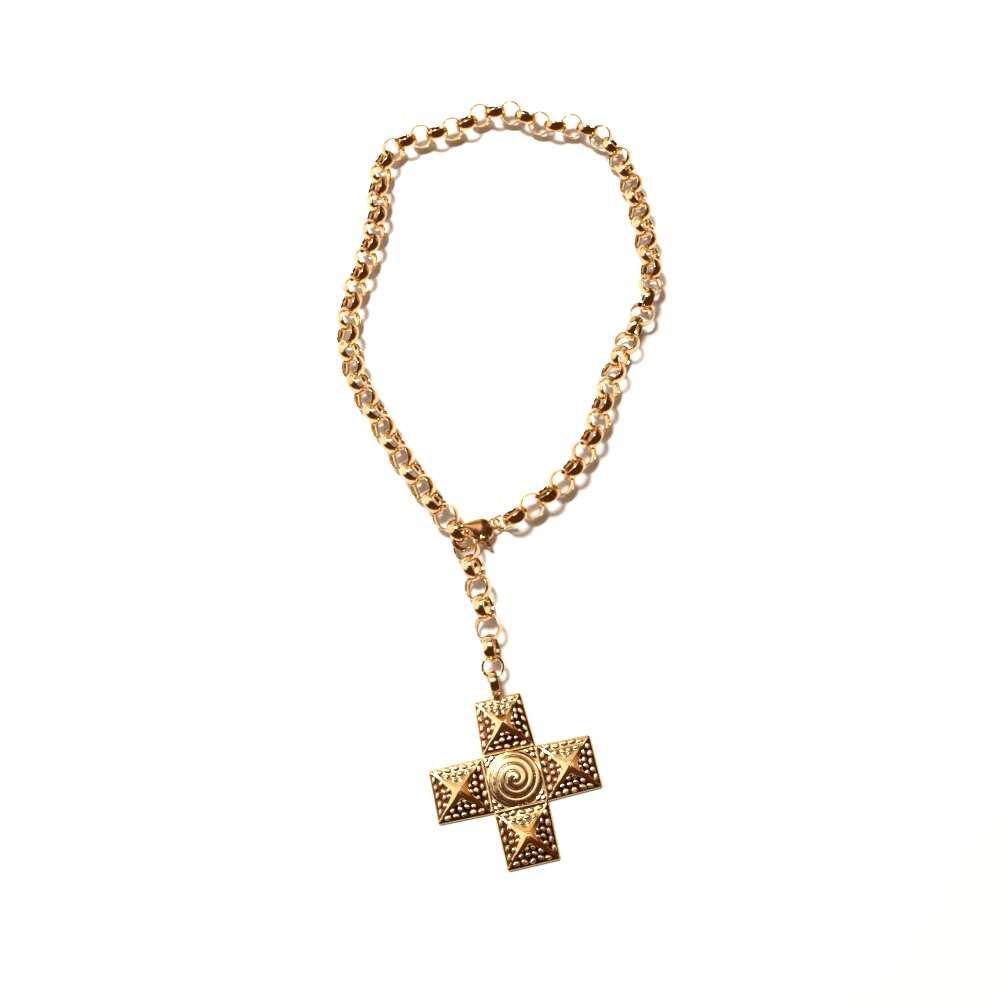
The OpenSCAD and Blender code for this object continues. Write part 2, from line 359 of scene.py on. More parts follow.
def arc_distance(x: Array, y: Array, z: Array, radius: float, start: float, end: float) -> Array:
    """Distance to the middle line of an arc in the xy plane about the origin.

    Args:
        x: Across.
        y: Along.
        z: Up.
        radius: The arc's radius.
        start: Angle of its first end, in degrees.
        end: Angle of its last end, in degrees.

    Returns:
        The distance at each point.
    """
    middle, half = math.radians((start + end) / 2), math.radians((end - start) / 2)
    angle = (np.arctan2(y, x) - middle + math.pi) % (2 * math.pi) - math.pi
    angle = np.clip(angle, -half, half) + middle
    return np.sqrt((x - radius * np.cos(angle)) ** 2 + (y - radius * np.sin(angle)) ** 2 + z ** 2)


def slab(flat: Array, z: Array, thick: float, edge: float) -> Array:
    """Raises a flat distance to a plate of some thickness with rounded edges."""
    a, b = flat + edge, np.abs(z) - thick / 2 + edge
    return np.hypot(np.maximum(a, 0), np.maximum(b, 0)) + np.minimum(np.maximum(a, b), 0) - edge


@dataclass
class CastForm:
    """A closed smooth form: the surface where a distance field is zero."""

    distance: Callable[[Array, Array, Array], Array]
    low: Spot
    high: Spot
    step: float
    settle_rounds: int = 3

    def skin(self) -> tuple[Points, Faces]:
        """Lays a net of four-sided faces over the form's surface.

        Returns:
            The net's points, in millimetres, and its faces.
        """
        axes = [np.arange(a, b + self.step, self.step) for a, b in zip(self.low, self.high)]
        grid = np.meshgrid(*axes, indexing="ij")
        values = self.distance(*grid)
        corners = list(np.ndindex(2, 2, 2))
        count = [len(a) - 1 for a in axes]
        windows = [tuple(slice(o, o + n) for o, n in zip(c, count)) for c in corners]
        inside = sum((values[window] < 0).astype(np.int8) for window in windows)
        cells = np.argwhere((inside > 0) & (inside < 8))
        number = np.full(count, -1, dtype=np.int64)
        number[tuple(cells.T)] = np.arange(len(cells))
        total = np.zeros((len(cells), 3))
        hits = np.zeros(len(cells))
        for c in corners:
            for axis, unit in enumerate(np.eye(3, dtype=int)):
                if c[axis]:
                    continue
                near, far = (values[tuple((cells + end).T)] for end in (c, c + unit))
                crossed = (near < 0) != (far < 0)
                share = near / np.where(crossed, near - far, 1.0)
                total += np.where(crossed[:, None], c + share[:, None] * unit, 0.0)
                hits += crossed
        points = (cells + total / hits[:, None]) * self.step + np.asarray(self.low)
        return self.settled(points), self.net_faces(values < 0, number)

    def settled(self, points: Points) -> Points:
        """Draws the net's points onto the surface.

        Args:
            points: Points near the surface.

        Returns:
            Points on it.
        """
        limit, probe, least_size = self.step / 2, 0.01, 0.25
        for _ in range(self.settle_rounds):
            value = self.distance(*points.T)
            ahead = [self.distance(*(points + probe * unit).T) for unit in np.eye(3)]
            behind = [self.distance(*(points - probe * unit).T) for unit in np.eye(3)]
            slope = (np.stack(ahead, axis=1) - np.stack(behind, axis=1)) / (2 * probe)
            size = np.maximum((slope ** 2).sum(axis=1), least_size)
            move = -(value / size)[:, None] * slope
            points = points + np.clip(move, -limit, limit)
        return points

    @staticmethod
    def net_faces(inside: Array, number: Array) -> Faces:
        """Joins the four cells round each grid edge that crosses the surface.

        Args:
            inside: Which grid points lie inside the form.
            number: Each cell's point number, or -1.

        Returns:
            The faces, all facing outwards.
        """
        faces = []
        for axis, (u, v) in enumerate([(1, 2), (2, 0), (0, 1)]):
            change = np.diff(inside.astype(np.int8), axis=axis)
            spots = np.argwhere(change)
            keep = (spots[:, u] > 0) & (spots[:, v] > 0)
            keep &= (spots[:, u] < number.shape[u]) & (spots[:, v] < number.shape[v])
            spots = spots[keep]
            to_u, to_v = np.eye(3, dtype=int)[[u, v]]
            ring = [spots - to_u - to_v, spots - to_v, spots, spots - to_u]
            quads = np.stack([number[tuple(cell.T)] for cell in ring], axis=1)
            entering = change[tuple(spots.T)] > 0
            quads[entering] = quads[entering][:, ::-1]
            faces.extend(quads[(quads >= 0).all(axis=1)].tolist())
        return faces

    def build(self, name: str, place: Placement, material: bpy.types.Material, body: str, node: str) -> None:
        """Builds the form where it lies and dresses it."""
        points, faces = self.skin()
        finish_piece(make_object(name, place.place(points), faces), material, body, node)


# The chain

NECK_ROUTE = [
    (5.1, -7.6), (16.8, 0.6), (25.6, 10.6), (32.2, 22.6), (36.2, 35.2), (40.8, 48),
    (46.5, 60.7), (52.4, 72.8), (55.3, 86), (54, 101.7), (51.5, 119), (46.5, 137),
    (39.5, 148.3), (29.5, 153.8), (17.5, 154.5), (6, 160), (-5.5, 160.2), (-15.8, 153.6),
    (-27, 150), (-36.8, 146.4), (-43.8, 138.5), (-46, 126), (-46.2, 112), (-48.9, 95.5),
    (-53.4, 77.5), (-54.3, 60), (-50.1, 43.4), (-42.6, 29.4), (-34.3, 14.9), (-25.5, 2),
    (-19.2, -6.4), (-13.7, -13),
]
DROP_ROUTE = [
    (-13.7, -13), (-10.9, -19.2), (-8.8, -26.2), (-6.9, -33.3),
    (-4.9, -40.5), (-3.4, -47.5), (-2.6, -54.4),
]


@dataclass
class Route:
    """A smooth line through points that a run of the chain follows."""

    points: Sequence[tuple]
    steps: int = 12
    line: Array = field(init=False)
    runs: Array = field(init=False)

    def __post_init__(self) -> None:
        """Works the smooth line out."""
        p = np.array(self.points, dtype=float)
        w = np.vstack([2 * p[0] - p[1], p, 2 * p[-1] - p[-2]])
        rows = []
        for i in range(len(p) - 1):
            a, b, c, d = w[i:i + 4]
            for k in range(self.steps):
                t = k / self.steps
                rows.append(0.5 * (
                    2 * b + (c - a) * t + (2 * a - 5 * b + 4 * c - d) * t * t
                    + (3 * b - a - 3 * c + d) * t ** 3
                ))
        self.line = np.array(rows + [p[-1]])
        gaps = np.linalg.norm(np.diff(self.line, axis=0), axis=1)
        self.runs = np.concatenate([[0.0], np.cumsum(gaps)])

    def at(self, distance: float) -> Array:
        """The point at some distance along the line."""
        return np.array([np.interp(distance, self.runs, self.line[:, k]) for k in (0, 1)])


@dataclass
class BandLink:
    """A round link bent from half-round band: domed outside and in, thin at its edges."""

    outer_d: float = 9.2
    wall: float = 0.9
    width: float = 3.4
    bulge_out: float = 0.4
    bulge_in: float = 0.38
    lip: float = 0.03
    face_points: int = 9
    segments: int = 60
    seam_half: float = 0.9
    seam_reach: float = 2.25
    seam_depth: float = 0.035

    def section(self) -> Array:
        """The band's section.

        Returns:
            Its radii and its heights, counter-clockwise, without a repeated end.
        """
        half = self.width / 2
        heights = np.sin(np.linspace(-math.pi / 2, math.pi / 2, self.face_points)) * (half - self.lip)
        out_r, in_r = arc_radius(half, self.bulge_out), arc_radius(half, self.bulge_in)
        outer = self.outer_d / 2 - out_r + np.sqrt(out_r ** 2 - heights ** 2)
        inner = self.outer_d / 2 - self.wall + in_r - np.sqrt(in_r ** 2 - heights ** 2)
        top, foot = (outer[-1] + inner[-1]) / 2, (outer[0] + inner[0]) / 2
        radii = np.concatenate([outer, [top], inner[::-1], [foot]])
        return np.stack([radii, np.concatenate([heights, [half], heights[::-1], [-half]])])

    def shell(self, seam_at: float) -> tuple[Points, Array]:
        """The link about its own middle, its axis along z.

        Args:
            seam_at: Angle of the soldered seam, in degrees.

        Returns:
            The points, and the faces as rows of four.
        """
        radii, heights = self.section()
        angles = np.concatenate([
            np.linspace(self.seam_reach, 360 - self.seam_reach, self.segments),
            [360 - self.seam_half, 360.0, 360 + self.seam_half],
        ])
        sink = np.zeros(len(angles))
        sink[-2] = self.seam_depth
        middle_r = self.outer_d / 2 - self.wall / 2
        rows = [
            swept_row(radii - depth * np.sign(radii - middle_r), heights, angle)
            for angle, depth in zip(np.radians(angles + seam_at), sink)
        ]
        return np.concatenate(rows), tube_faces(len(angles), len(radii), closed=True)


@dataclass
class Chain:
    """The neck chain and the drop below the clasp, both of the same round links."""

    link: BandLink = field(default_factory=BandLink)
    neck: Route = field(default_factory=lambda: Route(NECK_ROUTE))
    drop: Route = field(default_factory=lambda: Route(DROP_ROUTE))
    neck_links: int = 68
    drop_links: int = 6
    mid_z: float = 4.8
    drop_pitch: float = 6.9
    hook_pitch: float = 6.65
    crowding: float = 0.03
    roll: float = 45.0
    roll_sway: float = 4.0
    sway_step: float = 17.0
    side_twist: float = -105.0
    side_twist_links: tuple = (18, 8)
    drop_twist: float = -30.0
    hook_twist: float = -17.0
    hook_reach: int = 3
    seam_step: float = 137.5
    mids: Array = field(init=False)

    def __post_init__(self) -> None:
        """Works out where each link's middle lies."""
        shares = np.arange(self.neck_links) / (self.neck_links - 1)
        shares = shares + self.crowding * np.sin(2 * math.pi * shares) / (2 * math.pi)
        self.mids = np.array(
            [self.neck.at(self.neck.runs[-1] * share) for share in shares]
            + [self.drop.at(self.hook_pitch + i * self.drop_pitch) for i in range(self.drop_links)]
        )

    def heading(self, i: int) -> float:
        """Direction of the chain at a link, in degrees."""
        a, b = self.mids[max(i - 1, 0)], self.mids[min(i + 1, len(self.mids) - 1)]
        return math.degrees(math.atan2(b[1] - a[1], b[0] - a[0]))

    def turn(self, i: int) -> float:
        """Roll of a link about the chain's line, in degrees."""
        hook = self.neck_links - 1
        turn = self.roll if i % 2 == 0 else -self.roll
        still, twisted = self.side_twist_links
        turn += self.side_twist * min(1.0, max(0.0, (still - i) / (still - twisted)))
        if i < hook - self.hook_reach:
            turn += self.roll_sway * math.sin(math.radians(self.sway_step * i))
        turn += self.drop_twist * max(0, i - self.neck_links) / (self.drop_links - 1)
        return turn + self.hook_twist * max(0.0, 1 - ((i - hook) / self.hook_reach) ** 2)

    def build_run(self, name: str, first: int, count: int) -> bpy.types.Object:
        """Builds a run of links as one piece.

        Args:
            name: The piece's name.
            first: Number of its first link.
            count: How many links it has.

        Returns:
            The piece.
        """
        points, faces = [], []
        for number, i in enumerate(range(first, first + count)):
            shell, quads = self.link.shell(seam_at=(i * self.seam_step) % 360)
            place = Placement(turned(self.turn(i), 0, self.heading(i)), [*self.mids[i], self.mid_z])
            points.append(place.place(shell))
            faces.append(quads + number * len(shell))
        return make_object(name, np.concatenate(points), np.concatenate(faces).tolist())

    def build(self) -> None:
        """Builds and dresses both runs."""
        gold = GoldFinish(
            "chain_gold", tint=(0.88, 0.68, 0.41), deep_tint=(0.8, 0.53, 0.25),
            rough_low=0.06, rough_high=0.17, grain=Grain.BUFFED,
        ).material()
        neck = self.build_run("neck_links", 0, self.neck_links)
        drop = self.build_run("drop_links", self.neck_links, self.drop_links)
        finish_piece(neck, gold, "necklace", "neck_chain")
        finish_piece(drop, gold, "necklace", "drop_chain")


# Wire rings

@dataclass
class WireRing:
    """A plain ring bent from round wire, its two ends pressed together."""

    name: str
    node: str
    middle: Spot
    turn: Sequence[float]
    outer_d: float = 7.6
    wire_r: float = 0.5
    cut_gap: float = 0.05
    cut_at: float = 205.0
    end_share: float = 0.86
    segments: int = 96
    sides: int = 20

    def build(self, material: bpy.types.Material) -> None:
        """Builds and dresses the ring.

        Args:
            material: Its finish.
        """
        centre_r = self.outer_d / 2 - self.wire_r
        half_gap = math.degrees(self.cut_gap / 2 / centre_r)
        angles = np.radians(np.linspace(half_gap, 360 - half_gap, self.segments) + self.cut_at)
        around = 2 * math.pi * np.arange(self.sides) / self.sides
        cuts = [(angles[0], self.end_share), *[(a, 1.0) for a in angles], (angles[-1], self.end_share)]
        rows = [
            swept_row(centre_r + share * self.wire_r * np.cos(around),
                      share * self.wire_r * np.sin(around), angle)
            for angle, share in cuts
        ]
        numbers = list(range(len(cuts) * self.sides))
        ends = [numbers[:self.sides], numbers[-self.sides:][::-1]]
        faces = tube_faces(len(cuts), self.sides, closed=False).tolist() + ends
        place = Placement(turned(*self.turn), self.middle)
        piece = make_object(self.name, place.place(np.concatenate(rows)), faces)
        finish_piece(piece, material, "necklace", self.node)


# The clasp

@dataclass
class LobsterClasp:
    """Domed body with a hook and an eye, and the sprung lever that closes the hook."""

    middle: Spot
    bore_r: float = 3.15
    wire_r: float = 0.8
    body_r: float = 4.0
    body_thick: float = 3.4
    lever_thick: float = 1.1
    dip: float = 9.5
    heading: float = 30.0
    roll: float = 10.0
    shoulder_angle: float = 68.0
    tip_angle: float = 246.0
    tail_r: float = 1.7
    tail_wire_r: float = 0.4
    rivet_r: float = 0.45
    cheek_r: float = 1.5
    cheek_thick: float = 2.9
    lever_gap: float = 0.12
    arm_w: float = 1.3
    root_r: float = 1.25
    lever_tip: float = 262.5
    lever_bend: float = 310.0
    nub_reach: float = 3.0
    nub_angle: float = -80.0
    body_offset: tuple = (3.0, -0.2)
    rivet_offset: tuple = (-1.0, -3.1)
    rivet_head: tuple = (0.7, 0.7, 0.24)
    rivet_gap: float = 0.05
    tail_sunk: float = 0.9
    hook_start: float = 30.0

    @property
    def hook_r(self) -> float:
        """Radius of the hook's middle line."""
        return self.bore_r + self.wire_r

    @property
    def body_mid(self) -> Array:
        """Middle of the domed body."""
        return np.array([self.hook_r, 0.0]) + self.body_offset

    @property
    def pivot(self) -> Array:
        """Where the lever's rivet stands."""
        return np.array([self.body_mid[0], 0.0]) + self.rivet_offset

    @property
    def placement(self) -> Placement:
        """Where the clasp lies."""
        return Placement(turned(0, self.dip, self.heading) @ turned(self.roll, 0, 0), self.middle)

    def dome(self, x: Array, y: Array, z: Array) -> Array:
        """Distance to the domed body, drawn out to the hook's shoulder."""
        thicker, steps = 1.2, 24
        shoulder, small = polar(self.hook_r, self.shoulder_angle), thicker * self.wire_r
        best = np.full(np.shape(x), np.inf)
        for share in np.linspace(0, 1, steps):
            mid = self.body_mid + (shoulder - self.body_mid) * share
            wide = self.body_r + (small - self.body_r) * share
            thick = self.body_thick / 2 + (small - self.body_thick / 2) * share
            best = np.minimum(best, ellipsoid(x - mid[0], y - mid[1], z, (wide, wide, thick)))
        return best

    def slot(self, x: Array, y: Array, z: Array) -> Array:
        """Distance to the space that the lever turns in."""
        px, py = self.pivot
        reach, down, up = 3.4, 8.0, 2.2
        left, right = px - reach, px + self.root_r + self.lever_gap
        flat = np.hypot(x - px, y - py) - self.root_r - self.lever_gap
        flat = np.minimum(flat, box_2d(x, y, (left, py - down), (right, py)))
        flat = np.minimum(flat, box_2d(x, y, (left, py), (px, py + up)))
        return np.maximum(flat, np.abs(z) - self.lever_thick / 2 - self.lever_gap)

    def body_distance(self, x: Array, y: Array, z: Array) -> Array:
        """Distance to the body, its hook, eye, cheeks and rivet."""
        cheek_fillet, fillet, rivet_fillet = 0.2, 0.25, 0.04
        cheek_edge, bore_edge, eye_edge, slot_edge, rivet_edge = 0.25, 0.12, 0.1, 0.08, 0.05
        px, py = self.pivot
        away = np.hypot(x - px, y - py)
        tail_x = self.body_mid[0] + self.body_r + self.tail_r - self.tail_sunk
        cheek = slab(away - self.cheek_r, z, self.cheek_thick, cheek_edge)
        hook = arc_distance(x, y, z, self.hook_r, self.hook_start, self.tip_angle) - self.wire_r
        eye = arc_distance(x - tail_x, y, z, self.tail_r, -180, 180) - self.tail_wire_r
        shape = self.dome(x, y, z)
        for part, blend in ((cheek, cheek_fillet), (hook, fillet), (eye, fillet)):
            shape = smooth_min(shape, part, blend)
        bore = self.bore_r - np.hypot(x, y)
        eye_hole = self.tail_r - self.tail_wire_r - np.hypot(x - tail_x, y)
        for cut, edge in ((bore, bore_edge), (eye_hole, eye_edge), (-self.slot(x, y, z), slot_edge)):
            shape = smooth_max(shape, cut, edge)
        rivet = slab(away - self.rivet_r, z, self.cheek_thick, rivet_edge)
        proud = np.abs(z) - self.cheek_thick / 2 + rivet_edge
        head = ellipsoid(x - px, y - py, proud, self.rivet_head)
        return smooth_min(np.minimum(shape, rivet), head, rivet_fillet)

    def lever_distance(self, x: Array, y: Array, z: Array) -> Array:
        """Distance to the lever: arm, root and thumb nub."""
        half, fillet, root_fillet, edge = self.arm_w / 2, 0.2, 0.15, 0.22
        start = self.lever_tip + math.degrees(half / self.hook_r)
        flat = arc_distance(x, y, 0 * z, self.hook_r, start, self.lever_bend) - half
        bend = polar(self.hook_r, self.lever_bend)
        for end in (bend, self.pivot + polar(self.nub_reach, self.nub_angle)):
            flat = smooth_min(flat, capsule_2d(x, y, end, self.pivot, half), fillet)
        away = np.hypot(x - self.pivot[0], y - self.pivot[1])
        flat = smooth_min(flat, away - self.root_r, root_fillet)
        flat = np.maximum(flat, self.rivet_r + self.rivet_gap - away)
        return slab(flat, z, self.lever_thick, edge)

    def build(self) -> None:
        """Builds and dresses the body and the lever."""
        # The deeper orange tint is a painted reflection: it stands in for an orange surrounding mirrored on
        # the dome
        gold = GoldFinish(
            "clasp_gold", tint=(0.82, 0.5, 0.2), deep_tint=(0.72, 0.38, 0.12),
            rough_low=0.16, rough_high=0.28, mark_scale=700.0,
        ).material()
        shell = CastForm(self.body_distance, low=(-5.2, -5.2, -2.1), high=(14.3, 5.2, 2.1), step=0.1)
        lever = CastForm(self.lever_distance, low=(-2, -7.2, -0.8), high=(7.7, -0.9, 0.8), step=0.08)
        shell.build("clasp_shell", self.placement, gold, "necklace", "clasp_body")
        lever.build("clasp_thumb_lever", self.placement, gold, "lever", "clasp_lever")


# The pendant

@dataclass
class HammerMark:
    """One oval hammer mark on a face: its middle, half sizes, lean and lift."""

    across: float
    up: float
    long_half: float
    short_half: float
    lean: float
    lift: float
    tilt: float


@dataclass
class CrossPendant:
    """Cross of five squares: four concave pyramids round a square with a raised spiral."""

    middle: Spot = (4.6, -92.6, 0.0)
    turn: float = 12.6
    side: float = 17.2
    plate: float = 1.2
    rise: float = 4.15
    step: float = 0.25
    taper: float = 0.95
    top_taper: float = 0.88
    corner_r: float = 0.8
    edge_r: float = 0.5
    rim_ease: float = 0.3
    border_r: float = 0.42
    spiral_r: float = 8.3
    spiral_h: float = 2.4
    spiral_pitch: float = 2.3
    spiral_ridge: float = 0.3
    terrace: float = 0.75
    grid_step: float = 0.145
    edge_lines: tuple = (0.0, 0.03, 0.09, 0.18, 0.3, 0.42, 0.55)
    welds_per_mm: float = 1e4
    # Height up the face, number of marks and their step, for each row
    rows: tuple = ((1.45, 5, 2.6), (3.45, 4, 2.2), (5.2, 2, 1.85))
    # Distance from the middle and number of marks, for each corner row of the middle square
    corner_rows: tuple = ((9.3, 2), (10.5, 1))
    # Height and inset of each line of the side wall, from the top down
    wall_lines: tuple = ((0.55, 0.0), (0.2, 0.0), (0.06, -0.05), (0.0, -0.18))
    # Share of the painted shade that the top-facing faces get, so they are painted lighter than the rest
    top_shade_weight: float = 0.45
    seed: int = 11

    @property
    def half(self) -> float:
        """Half the side of a square."""
        return self.side / 2

    @property
    def end(self) -> float:
        """How far an arm's end lies from the cross's middle."""
        return 3 * self.half

    @property
    def arc_r(self) -> float:
        """Radius of a pyramid's concave face."""
        return arc_radius(self.half, self.rise)

    @property
    def placement(self) -> Placement:
        """Where the pendant lies."""
        return Placement(turned(0, 0, self.turn), self.middle)

    def nodes_1d(self) -> Array:
        """Grid lines across a square from -1 to 1, finer at its two edges."""
        edge = np.array(self.edge_lines)
        count = int(round((self.side - 2 * edge[-1]) / self.grid_step))
        inner = np.linspace(edge[-1], self.side - edge[-1], count + 1)[1:-1]
        return (np.concatenate([edge, inner, self.side - edge[::-1]]) - self.half) / self.half

    def concave(self, inward: Array) -> Array:
        """Height of a concave face at a distance from its edge."""
        inward = np.clip(inward, 0, self.half)
        return self.arc_r - np.sqrt(self.arc_r ** 2 - inward ** 2)

    def marks(self, arm: int, side: int) -> list[HammerMark]:
        """The hammer marks of one face, no two faces alike.

        Args:
            arm: Number of the arm.
            side: Number of the face on it.

        Returns:
            The marks.
        """
        chance = np.random.default_rng(self.seed + 10 * arm + side)
        return [
            HammerMark(
                across=(k - (count - 1) / 2) * step + chance.uniform(-0.2, 0.2),
                up=up + chance.uniform(-0.25, 0.25),
                long_half=step * chance.uniform(0.35, 0.44),
                short_half=chance.uniform(0.5, 0.72),
                lean=chance.uniform(-0.35, 0.35),
                lift=chance.uniform(0.1, 0.16),
                tilt=chance.uniform(-0.1, 0.15),
            )
            for up, count, step in self.rows for k in range(count)
        ]

    def pyramid(self, arm: int, across: Array, along: Array) -> tuple[Array, Array]:
        """Relief of one arm's pyramid above the plate.

        Args:
            arm: Number of the arm.
            across: Distance from the square's middle across the arm.
            along: Distance from the square's middle along the arm.

        Returns:
            The height, and how much painted shade each point gets: the sunk ground between the marks, less
            of it on faces that look to the top.
        """
        hip_blend, hip_low, hip_more, hip_reach, hip_power = 0.16, 0.2, 1.05, 5.8, 1.6
        patch_low, patch_high, soft, top_soft = 0.3, 6.3, 0.3, 0.5
        sunk, sunk_start, mark_rim, mark_soft, mark_dome, dome_reach = 0.2, 0.8, 1.1, 0.24, 0.025, 1.3
        sides = [(along, across, 90), (-along, across, 270), (across, along, 0), (-across, along, 180)]
        beside, before = self.half - np.abs(across), self.half - np.abs(along)
        height = self.step + smooth_min(self.concave(beside), self.concave(before), hip_blend)
        shade_share = np.zeros_like(height)
        for number, (out, lateral, heading) in enumerate(sides):
            up = self.half - out
            hip = (out - np.abs(lateral)) / math.sqrt(2)
            band = hip_low + hip_more * np.clip(up / hip_reach, 0, 1) ** hip_power
            patch = np.clip((hip - band) / soft, 0, 1) * np.clip((patch_high - up) / top_soft, 0, 1)
            patch = eased(patch * np.clip((up - patch_low) / soft, 0, 1))
            face = -sunk * patch * np.clip(up / sunk_start, 0, 1)
            cover = np.zeros_like(height)
            for mark in self.marks(arm, number):
                above = up - mark.up
                far = oval(lateral - mark.across, above, mark.lean, mark.long_half, mark.short_half)
                inside = eased((mark_rim - far) / mark_soft)
                slope = mark.up / math.sqrt(self.arc_r ** 2 - mark.up ** 2)
                level = self.concave(np.full_like(up, mark.up)) + slope * mark.tilt * above
                dome = mark_dome * (1 - np.clip(far, 0, dome_reach) ** 2)
                top = level - self.concave(up) + mark.lift + dome
                face = face * (1 - inside * patch) + top * inside * patch
                cover = np.maximum(cover, inside)
            height = height + np.where(patch > 0, face, 0)
            # Painted shade by the side the face looks to: the top-facing faces get less
            shade_weight = self.top_shade_weight if (heading + 90 * arm) % 360 == 90 else 1.0
            shade_share = np.maximum(shade_share, patch * (1 - cover) * shade_weight)
        return height, shade_share

    def boss(self, x: Array, y: Array) -> tuple[Array, Array]:
        """Relief of the middle square: the wound ridge, and hammered corners.

        Args:
            x: Across the cross.
            y: Along the cross.

        Returns:
            The height above the plate, and the painted shade: in the ridge's grooves, and faint on the
            ground between the corner marks.
        """
        # The last number sets how narrow the painted shade in the grooves is
        ridge_power, level_power, fade_rate, shade_power = 4, 6, 14, 1.5
        # The third and fourth numbers set how much painted shade lies between the corner marks and how fast
        # it fades up a mark
        foot, edge, shade_weight, shade_rate = 0.3, 0.15, 0.12, 8
        gap, jitter, long_half, short_half, lift, mark_rim = 2.0, 0.03, 0.85, 0.5, 0.2, 1.1
        r, angle = np.hypot(x, y), np.degrees(np.arctan2(y, x))
        phase = 360 * r / self.spiral_pitch - (angle + 90)
        turned_share = (phase / 360 + 0.5) % 1.0 - 0.5
        groove = np.abs(2 * turned_share)
        ridge = 1 - groove ** ridge_power
        fade = np.clip((1 - r / self.spiral_r) * fade_rate, 0, 1)
        terrace = self.terrace * self.spiral_pitch * turned_share * (1 - groove ** level_power) * fade
        cone = foot + self.spiral_h * (1 - np.clip((r - terrace) / self.spiral_r, 0, 1))
        cone = cone + self.spiral_ridge * (ridge - 0.5) * fade
        inside = eased((self.spiral_r + edge - r) / (2 * edge))
        corner = np.zeros_like(r)
        chance = np.random.default_rng(self.seed)
        places = [(45 + 90 * turn, distance, k - (count - 1) / 2)
                  for turn in range(4) for distance, count in self.corner_rows for k in range(count)]
        for heading, distance, aside in places:
            spot = math.radians(heading) + aside * gap / distance + chance.uniform(-jitter, jitter)
            dx, dy = x - distance * math.cos(spot), y - distance * math.sin(spot)
            far = oval(dx, dy, spot + math.pi / 2, long_half, short_half)
            corner = np.maximum(corner, lift * np.sqrt(np.clip(mark_rim - far, 0, 1)))
        line = self.half - np.maximum(np.abs(x), np.abs(y))
        height = corner * (1 - inside) + cone * inside
        # Painted shade in the ridge's grooves and, faintly, on the ground between the corner marks
        between = (1 - inside) * np.clip(1 - corner * shade_rate, 0, 1) * shade_weight
        shade_share = (1 - ridge) ** shade_power * inside * fade + between
        return height, np.where(line < self.border_r, 0, shade_share)

    def border(self, line: Array) -> Array:
        """Height of the thin raised line round the middle square."""
        return np.sqrt(np.clip(self.border_r ** 2 - line ** 2, 0, None))

    def rim(self, height: Array, inward: Array) -> Array:
        """Takes a relief down to the plate's rounded edge.

        Args:
            height: Relief above the plate.
            inward: Distance from the cross's outline.

        Returns:
            Height above the surface that the pendant lies on.
        """
        share = eased((inward - self.edge_r) / self.rim_ease)
        deep = np.clip(self.edge_r - inward, 0, self.edge_r)
        return self.plate + height * share - self.edge_r + np.sqrt(self.edge_r ** 2 - deep ** 2)

    def square_patch(self, arm: int | None) -> tuple[Points, Array]:
        """Points and painted-shade shares of one square's grid, in the pendant's own axes.

        Args:
            arm: Number of the arm, counter-clockwise from the top, or None for the middle.

        Returns:
            The points in rows, and the shares.
        """
        line = self.nodes_1d()
        u, v = np.meshgrid(line, line, indexing="ij")
        if arm is None:
            x, y = u * self.half, v * self.half
            height, shade_share = self.boss(x, y)
            edge = self.border(self.half - np.maximum(np.abs(x), np.abs(y)))
            inward = np.hypot(self.half - np.abs(x), self.half - np.abs(y))
            z = self.rim(np.maximum(height, edge), inward)
            return np.stack([x, y, z], axis=-1).reshape(-1, 3), shade_share.reshape(-1)
        taper = self.top_taper if arm == 0 else self.taper
        width = self.half * (1 - (1 - taper) * (v + 1) / 2)
        inward = np.minimum((1 - np.abs(u)) * width, (1 - v) * self.half)
        height, shade_share = self.pyramid(arm, u * self.half, v * self.half)
        height = np.maximum(height, self.border((1 + v) * self.half))
        z = self.rim(height, inward)
        x, y = u * width, (v + 2) * self.half
        px = np.abs(x) - (width - self.corner_r)
        py = y - (self.end - self.corner_r)
        corner = (px > 0) & (py > 0)
        pull = np.where(corner, np.maximum(px, py) / np.maximum(np.hypot(px, py), TINY), 1)
        x = np.where(corner, np.sign(x) * (width - self.corner_r + px * pull), x)
        y = np.where(corner, self.end - self.corner_r + py * pull, y)
        points = np.stack([x, y, z], axis=-1).reshape(-1, 3)
        return points @ turn_about(2, 90 * arm).T, shade_share.reshape(-1)

    def surface(self) -> tuple[Points, Faces, Array]:
        """The closed cross: relief, rounded edge, side wall and flat back.

        Returns:
            Points in millimetres, faces, and the share of painted shade at each point.
        """
        n = len(self.nodes_1d())
        quads = tube_faces(n, n, closed=False).reshape(n - 1, n, 4)[:, :-1].reshape(-1, 4)
        patches, shares = zip(*(self.square_patch(arm) for arm in (None, 0, 1, 2, 3)))
        points, shade_share = np.concatenate(patches), np.concatenate(shares)
        faces = np.concatenate([quads + number * n * n for number in range(len(patches))])
        keys = np.round(points[:, :2] * self.welds_per_mm).astype(np.int64)
        _, first, welded = np.unique(keys, axis=0, return_index=True, return_inverse=True)
        points, shade_share, faces = points[first], shade_share[first], welded.reshape(-1)[faces].tolist()
        edges = {(a, b) for face in faces for a, b in zip(face, face[1:] + face[:1])}
        follows = {a: b for a, b in edges if (b, a) not in edges}
        loop = [min(follows)]
        while follows[loop[-1]] != loop[0]:
            loop.append(follows[loop[-1]])
        rim = points[loop]
        along = np.roll(rim, -1, axis=0) - np.roll(rim, 1, axis=0)
        out = np.stack([along[:, 1], -along[:, 0]], axis=1)
        out /= np.maximum(np.linalg.norm(out, axis=1, keepdims=True), TINY)
        rings = [
            np.column_stack([rim[:, :2] + out * inset, np.full(len(rim), height)])
            for height, inset in self.wall_lines
        ]
        numbers = np.concatenate([loop, len(points) + np.arange(len(rings) * len(loop))])
        walls = numbers[tube_faces(len(rings) + 1, len(loop), closed=False)].tolist()
        back = numbers[-len(loop):][::-1].tolist()
        points = np.concatenate([points, *rings])
        shade_share = np.concatenate([shade_share, np.zeros(len(points) - len(shade_share))])
        return points, [*faces, *walls, back], shade_share

